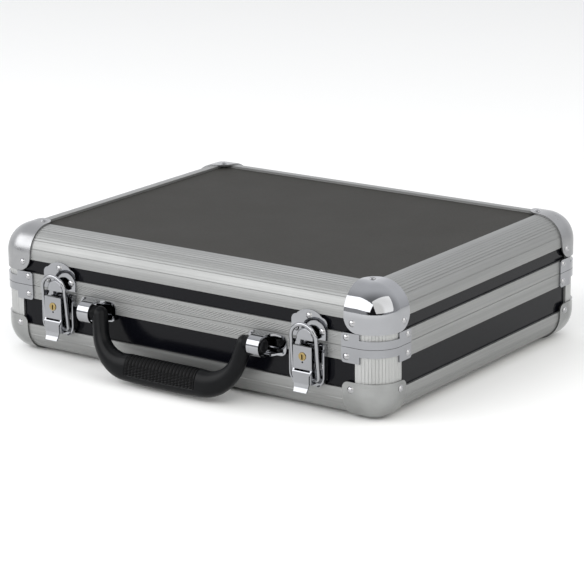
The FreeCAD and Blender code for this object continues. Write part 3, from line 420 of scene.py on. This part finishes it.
def rib_height(u, down):
    """Height of the insert's skin over its floor: ribs across the grip that break into knobs lower down."""
    phase = u / RIB_PITCH
    ridge = abs(math.cos(math.pi * phase)) ** 0.8
    broken = smoothstep((down - KNOB_START) / 0.06)
    row = (down - KNOB_START) / (1 - KNOB_START) * KNOB_ROWS + 0.5 * (round(phase) % 2)
    knob = abs(math.sin(math.pi * row)) ** 0.7
    rim = smoothstep((abs(u) - INSERT_HALF + RIM_WIDTH) / (0.3 * MM))
    return RIB_DEPTH * max(rim * 0.9, ridge * (1 - broken * (1 - knob)))


def grip_insert():
    """Ribbed rubber insert, wrapped round the grip's inner edge and its two faces."""
    loops = []
    for i in range(INSERT_COLUMNS + 1):
        u = INSERT_HALF * (2 * i / INSERT_COLUMNS - 1)
        inner, outer = grip_edges(u)
        middle = (inner + outer) / 2 + GRIP_MIDDLE
        deep = (outer - inner) / 2 - GRIP_SKIN
        outer_row, inner_row = [], []
        for j in range(INSERT_ROWS + 1):
            share = 2 * j / INSERT_ROWS - 1
            c, s = squared(INSERT_TURN * share, 1 - SQUARENESS)
            lift = rib_height(u, abs(share)) - RIB_DEPTH
            for row, level in ((outer_row, lift), (inner_row, -POCKET_DEPTH)):
                row.append(on_handle(u, middle - (deep + level) * c, (GRIP_THICK + level) * s))
        loops.append(outer_row + inner_row[::-1])
    bm = bmesh.new()
    skin(bm, loops, closed_ends=False)
    bm.verts.ensure_lookup_table()
    size = 2 * (INSERT_ROWS + 1)
    for start in (0, INSERT_COLUMNS * size):
        for n in range(INSERT_ROWS):
            quad = (start + n, start + n + 1, start + size - 2 - n, start + size - 1 - n)
            bm.faces.new([bm.verts[v] for v in quad])
    piece("grip_insert", mesh_of("grip_insert", bm), GRIP_RUBBER, "carry_handle")


# ---- rims with their pressed hatch, on the front and the back ----
HATCH_ANGLE = math.radians(26.0)
HATCH_PITCH = 3.6 * MM
HATCH_WIDTH = 1.5 * MM
HATCH_HEIGHT = 0.26 * MM
HATCH_REACH = 140.5 * MM
BANDS = {"lid": (1.7 * MM, 7.3 * MM), "base": (-7.9 * MM, -2.6 * MM)}    # from the parting line
RIDGE_PROFILE = [(-1.0, -0.3), (-0.6, 0.7), (0.0, 1.0), (0.6, 0.7), (1.0, -0.3)]
RIDGE_ENDS = [(0.0, 0.2), (0.03, 1.0), (0.97, 1.0), (1.0, 0.2)]          # share of its length, and scale


def hatch_ridge(bm, x, low, high, face_y, out, lean):
    """One rounded ridge that climbs from low to high, proud of the rim's face."""
    along = Vector((lean * math.cos(HATCH_ANGLE), 0, math.sin(HATCH_ANGLE)))
    across = Vector((-lean * math.sin(HATCH_ANGLE), 0, math.cos(HATCH_ANGLE))) * HATCH_WIDTH / 2
    length = (high - low) / math.sin(HATCH_ANGLE)
    start = Vector((x, face_y, low))
    rings = []
    for share, scale in RIDGE_ENDS:
        centre = start + along * length * share
        rings.append([centre + across * a * scale + Vector((0, out * HATCH_HEIGHT * b * scale, 0))
                      for a, b in RIDGE_PROFILE])
    skin(bm, rings)


def hatched_rims():
    """The front and back rims, each with its band of slanting ridges."""
    for part, body in (("base", "case_base"), ("lid", "lid")):
        for side, out in (("front", -1), ("back", 1)):
            name = f"{part}_rim_{side}"
            face_y = FRONT_Y if side == "front" else BACK_Y
            low, high = (PARTING + v for v in BANDS[part])
            lean = -out
            run = (high - low) / math.tan(HATCH_ANGLE)
            bm = bmesh.new()
            bm.from_mesh(nodes[name].data)
            count = int((2 * HATCH_REACH - run) / HATCH_PITCH)
            for n in range(count + 1):
                x = lean * (n * HATCH_PITCH - HATCH_REACH)
                hatch_ridge(bm, x, low, high, face_y, out, lean)
            mesh = mesh_of(f"hatched_{name}", bm)
            piece(f"hatched_{name}", mesh, ALUMINIUM[0], body, [name], smooth=False)
            mesh.set_sharp_from_angle(angle=math.radians(20))


# ---- pressed and plated pieces, with the soft edges of their pressing ----
FLAT_ANGLE, SHARP_ANGLE = math.radians(1.0), math.radians(38)


def soften(names, width):
    """Rounds the cut edges of the plated pieces, so that they catch the light."""
    for name in names:
        flat = nodes[name].modifiers.new("flat", "DECIMATE")
        flat.decimate_type = "DISSOLVE"
        flat.angle_limit = FLAT_ANGLE
        edge = nodes[name].modifiers.new("edge", "BEVEL")
        edge.width = width
        edge.segments = 2
        edge.limit_method = "ANGLE"
        edge.angle_limit = SHARP_ANGLE
        edge.harden_normals = True


def ball_corners():
    """The lid's corners: bright chrome at the front right, and a darker, rougher satin copy of the same
    chrome on the other three; its darker colour is painted shade.
    """
    mesh = nodes["lid_ball_corners"].data.copy()
    piece("lid_corners", mesh, SHADED_CORNER_CHROME, "lid", ["lid_ball_corners"], smooth=False)
    mesh.materials.append(CHROME)
    for face in mesh.polygons:
        # the front right corner takes the bright chrome, the other three the copy with painted shade
        face.material_index = int(face.center.x > 0 and face.center.y < MIDDLE_Y)


# ---- foam linings ----
FOAM_THICKNESS = 3.0 * MM
STRIP_CORNER = 2.5 * MM
LEAST_CORNER = 0.4 * MM
CORNER_STEPS = 6
STRIP_EDGE = [(0.8, -1.0), (0.35, -0.86), (0.0, -0.45)]     # inset and level, in half thicknesses
STRIP_SHORT = 3.8 * MM          # how far a strip ends from the lining's corner
PAD_CLEAR = 0.8 * MM
PAD_CORNER = 12.7 * MM
PAD_RIM = 6 * MM                # width of the pad's pinched rim
RIM_DIP, CRATE_DIP = 0.25, 0.45  # depths of the rim and of the dimples, in thicknesses
CRATE_PITCH = 15.0 * MM
CRATE_STEP = 1.9 * MM
PAD_STEP = 1.3 * MM             # the pad stands off its board by the height of the channels' fins


def foam_strip(name, low, high, body, replaced):
    """A wall's foam strip, with rounded corners and pinched edges."""
    size = [high[n] - low[n] for n in range(3)]
    thin = size.index(min(size))
    wide = [n for n in range(3) if n != thin]
    centre = [(high[n] + low[n]) / 2 for n in range(3)]
    half = [size[n] / 2 for n in wide]
    thick = size[thin] / 2

    def outline(inset):
        points = []
        r = max(STRIP_CORNER - inset, LEAST_CORNER)
        for q, (sa, sb) in enumerate(((1, 1), (-1, 1), (-1, -1), (1, -1))):
            for k in range(CORNER_STEPS + 1):
                a = math.pi / 2 * (q + k / CORNER_STEPS)
                points.append((sa * (half[0] - inset - r) + r * math.cos(a),
                               sb * (half[1] - inset - r) + r * math.sin(a)))
        return points

    bm = bmesh.new()
    rings = []
    for inset, level in STRIP_EDGE + [(inset, -level) for inset, level in reversed(STRIP_EDGE)]:
        ring = []
        for a, b in outline(thick * inset):
            at = Vector(centre)
            at[wide[0]] += a
            at[wide[1]] += b
            at[thin] += level * thick
            ring.append(at)
        rings.append(ring)
    skin(bm, rings)
    obj = piece(name, mesh_of(name, bm), FOAM, body, replaced)


def egg_crate(name, low, high, up, body, replaced):
    """A shell's flat pad: convoluted foam with rounded corners. up is 1 where it faces up, and -1 down."""
    thickness = high.z - low.z
    back_z, face_z = (low.z, high.z) if up > 0 else (high.z, low.z)
    size = (high.x - low.x, high.y - low.y)
    middle = ((high.x + low.x) / 2, (high.y + low.y) / 2)
    count = [int(s / CRATE_STEP) for s in size]

    def inside(a, b):
        """Pulls a point of the rectangle in to its rounded corner."""
        over = [max(0.0, abs(v) - (s / 2 - PAD_CORNER)) for v, s in zip((a, b), size)]
        reach = math.hypot(*over)
        if reach <= PAD_CORNER:
            return a, b
        pull = 1 - PAD_CORNER / reach
        return [math.copysign(abs(v) - o * pull, v) for v, o in zip((a, b), over)]

    def dip(a, b):
        swell = smoothstep(min(size[0] / 2 - abs(a), size[1] / 2 - abs(b)) / PAD_RIM)
        turn = 2 * math.pi / CRATE_PITCH
        wave = (1 - math.cos(turn * a) * math.cos(turn * b)) / 2
        return thickness * (RIM_DIP * (1 - swell) + CRATE_DIP * wave * swell)

    bm = bmesh.new()
    sheets = []
    for shown in (False, True):
        grid = []
        for i in range(count[0] + 1):
            row = []
            for j in range(count[1] + 1):
                a, b = inside(size[0] * (i / count[0] - 0.5), size[1] * (j / count[1] - 0.5))
                z = face_z - up * dip(a, b) if shown else back_z
                row.append(bm.verts.new((middle[0] + a, middle[1] + b, z)))
            grid.append(row)
        sheets.append(grid)
    for grid in sheets:
        for i in range(count[0]):
            for j in range(count[1]):
                bm.faces.new((grid[i][j], grid[i + 1][j], grid[i + 1][j + 1], grid[i][j + 1]))
    edge = ([(i, 0) for i in range(count[0])] + [(count[0], j) for j in range(count[1])]
            + [(i, count[1]) for i in range(count[0], 0, -1)] + [(0, j) for j in range(count[1], 0, -1)])
    for (i, j), (k, m) in zip(edge, edge[1:] + edge[:1]):
        bm.faces.new((sheets[0][i][j], sheets[0][k][m], sheets[1][k][m], sheets[1][i][j]))
    obj = piece(name, mesh_of(name, bm), FOAM, body, replaced)


def linings():
    """The foam of both shells, in the space of their CAD linings."""
    for part, body, up in (("base", "case_base", 1), ("lid", "lid", -1)):
        node = f"{part}_lining"
        low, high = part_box(node)
        if up > 0:
            pad_low = low.z + PAD_STEP
            pad_high = pad_low + FOAM_THICKNESS
            walls = (pad_high, high.z)
        else:
            pad_high = high.z - PAD_STEP
            pad_low = pad_high - FOAM_THICKNESS
            walls = (low.z, pad_low)
        egg_crate(f"{part}_foam_pad", Vector((low.x + PAD_CLEAR, low.y + PAD_CLEAR, pad_low)),
                  Vector((high.x - PAD_CLEAR, high.y - PAD_CLEAR, pad_high)), up, body, [node])
        reach_x, reach_y = high.x - STRIP_SHORT, (high.y - low.y) / 2 - STRIP_SHORT
        ends = (MIDDLE_Y - reach_y, MIDDLE_Y + reach_y)
        strips = {"right": ((high.x - FOAM_THICKNESS, high.x), ends),
                  "left": ((-high.x, FOAM_THICKNESS - high.x), ends),
                  "front": ((-reach_x, reach_x), (low.y, low.y + FOAM_THICKNESS)),
                  "back": ((-reach_x, reach_x), (high.y - FOAM_THICKNESS, high.y))}
        for side, (xs, ys) in strips.items():
            start, end = zip(xs, ys, walls)
            foam_strip(f"{part}_foam_{side}", start, end, body, [node])


# ---- camera, lights and floor ----
def direction(azimuth, elevation):
    """Unit vector from the case: azimuth 0 is in front of it and 90 to its right."""
    a, e = math.radians(azimuth), math.radians(elevation)
    return Vector((math.sin(a) * math.cos(e), -math.cos(a) * math.cos(e), math.sin(e)))


CAMERA_LENS, CAMERA_SENSOR = 154.74, 36.0
CAMERA_CLIP = (0.05, 60.0)
CAMERA_AZIMUTH, CAMERA_ELEVATION, CAMERA_ROLL = 35.30, 15.88, -0.592
CAMERA_DISTANCE = 1.9374
TARGET_BACK, TARGET_DOWN = 0.1394, 0.0165       # from the front face, and from the parting line
LIGHT_DISTANCE, LIGHT_HEIGHT = 2.3, 0.05
FLOOR_RADIUS, FLOOR_SEGMENTS = 7.0, 96


def make_camera():
    """The camera, looking down at the front right corner from across the room."""
    data = bpy.data.cameras.new("camera")
    data.lens, data.sensor_width = CAMERA_LENS, CAMERA_SENSOR
    data.clip_start, data.clip_end = CAMERA_CLIP
    camera = bpy.data.objects.new("camera", data)
    bpy.context.scene.collection.objects.link(camera)
    azimuth, roll = math.radians(CAMERA_AZIMUTH), math.radians(CAMERA_ROLL)
    back = direction(CAMERA_AZIMUTH, CAMERA_ELEVATION)
    level = Vector((math.cos(azimuth), math.sin(azimuth), 0))
    rise = back.cross(level)
    right = level * math.cos(roll) + rise * math.sin(roll)
    up = rise * math.cos(roll) - level * math.sin(roll)
    target = Vector((0, FRONT_Y + TARGET_BACK, PARTING - TARGET_DOWN))
    turn = Matrix((right, up, back)).transposed().to_4x4()
    camera.matrix_world = Matrix.Translation(target + back * CAMERA_DISTANCE) @ turn
    bpy.context.scene.camera = camera


def softbox(name, azimuth, elevation, width, height, power, tint=(1, 1, 1)):
    """A flat area light that faces the case."""
    data = bpy.data.lights.new(name, "AREA")
    data.shape, data.size, data.size_y = "RECTANGLE", width, height
    data.energy, data.color = power, tint
    light = bpy.data.objects.new(name, data)
    bpy.context.scene.collection.objects.link(light)
    way = direction(azimuth, elevation)
    light.location = Vector((0, MIDDLE_Y, LIGHT_HEIGHT)) + way * LIGHT_DISTANCE
    light.rotation_mode = "QUATERNION"
    light.rotation_quaternion = way.to_track_quat("Z", "Y")


def make_world():
    """A grey room, bright low down and behind the case, with a dark gap between the two softboxes."""
    world = bpy.data.worlds.new("studio")
    bpy.context.scene.world = world
    world.use_nodes = True
    tree = world.node_tree
    place = tree.nodes.new("ShaderNodeTexCoord").outputs["Generated"]

    def facing(way):
        """How nearly a direction agrees with this one, from -1 to 1."""
        made = tree.nodes.new("ShaderNodeVectorMath")
        made.operation = "DOT_PRODUCT"
        made.inputs[1].default_value = way
        tree.links.new(place, made.inputs[0])
        return made.outputs["Value"]

    def eased(value, start, end, low, high):
        made = tree.nodes.new("ShaderNodeMapRange")
        made.interpolation_type = "SMOOTHSTEP"
        for key, number in {"From Min": start, "From Max": end, "To Min": low, "To Max": high}.items():
            made.inputs[key].default_value = number
        tree.links.new(value, made.inputs["Value"])
        return made.outputs[0]

    height = eased(facing((0, 0, 1)), 0.0, 0.8, 0.62, 0.34)
    gap = eased(facing(direction(36, 14)), 0.78, 0.90, 1.0, 0.04)
    behind = eased(facing(direction(213, 35)), 0.0, 0.8, 0.0, 0.7)
    strength = tree.nodes.new("ShaderNodeMath")
    strength.operation = "MULTIPLY_ADD"
    for socket, value in zip(strength.inputs, (height, gap, behind)):
        tree.links.new(value, socket)
    background = tree.nodes["Background"]
    background.inputs["Color"].default_value = (0.97, 0.98, 1.0, 1.0)
    tree.links.new(strength.outputs[0], background.inputs["Strength"])


def make_floor():
    """A wide disc of pale paper."""
    bm = bmesh.new()
    bmesh.ops.create_circle(bm, cap_ends=True, segments=FLOOR_SEGMENTS, radius=FLOOR_RADIUS)
    mesh = bpy.data.meshes.new("floor")
    bm.to_mesh(mesh)
    bm.free()
    s = Surface("floor_paper", (0.93, 0.93, 0.925), 0.9, specular=0.1)
    s.to_color(s.noise((3.0,) * 3, detail=3.0), 0.995, 1.0)
    mesh.materials.append(s.material)
    floor = bpy.data.objects.new("floor", mesh)
    bpy.context.scene.collection.objects.link(floor)


def make_studio():
    make_camera()
    make_world()
    make_floor()
    softbox("left_softbox", -22, 31, 3.9, 1.55, 56.0)
    softbox("right_softbox", 72, 32, 3.2, 2.3, 36.0, (1.0, 0.99, 0.95))
    bpy.context.scene.view_settings.view_transform = "Standard"


paint_frame()
for side in ("left", "right"):
    soften([f"{name}_{side}" for name in ("latch_lever", "latch_keeper", "latch_plate", "handle_bracket")],
           0.22 * MM)
soften(["lid_rim_clamps", "base_rim_clamps", "base_ball_corners"], 0.3 * MM)
ball_corners()
handle_moulding()
grip_insert()
hatched_rims()
linings()
make_studio()
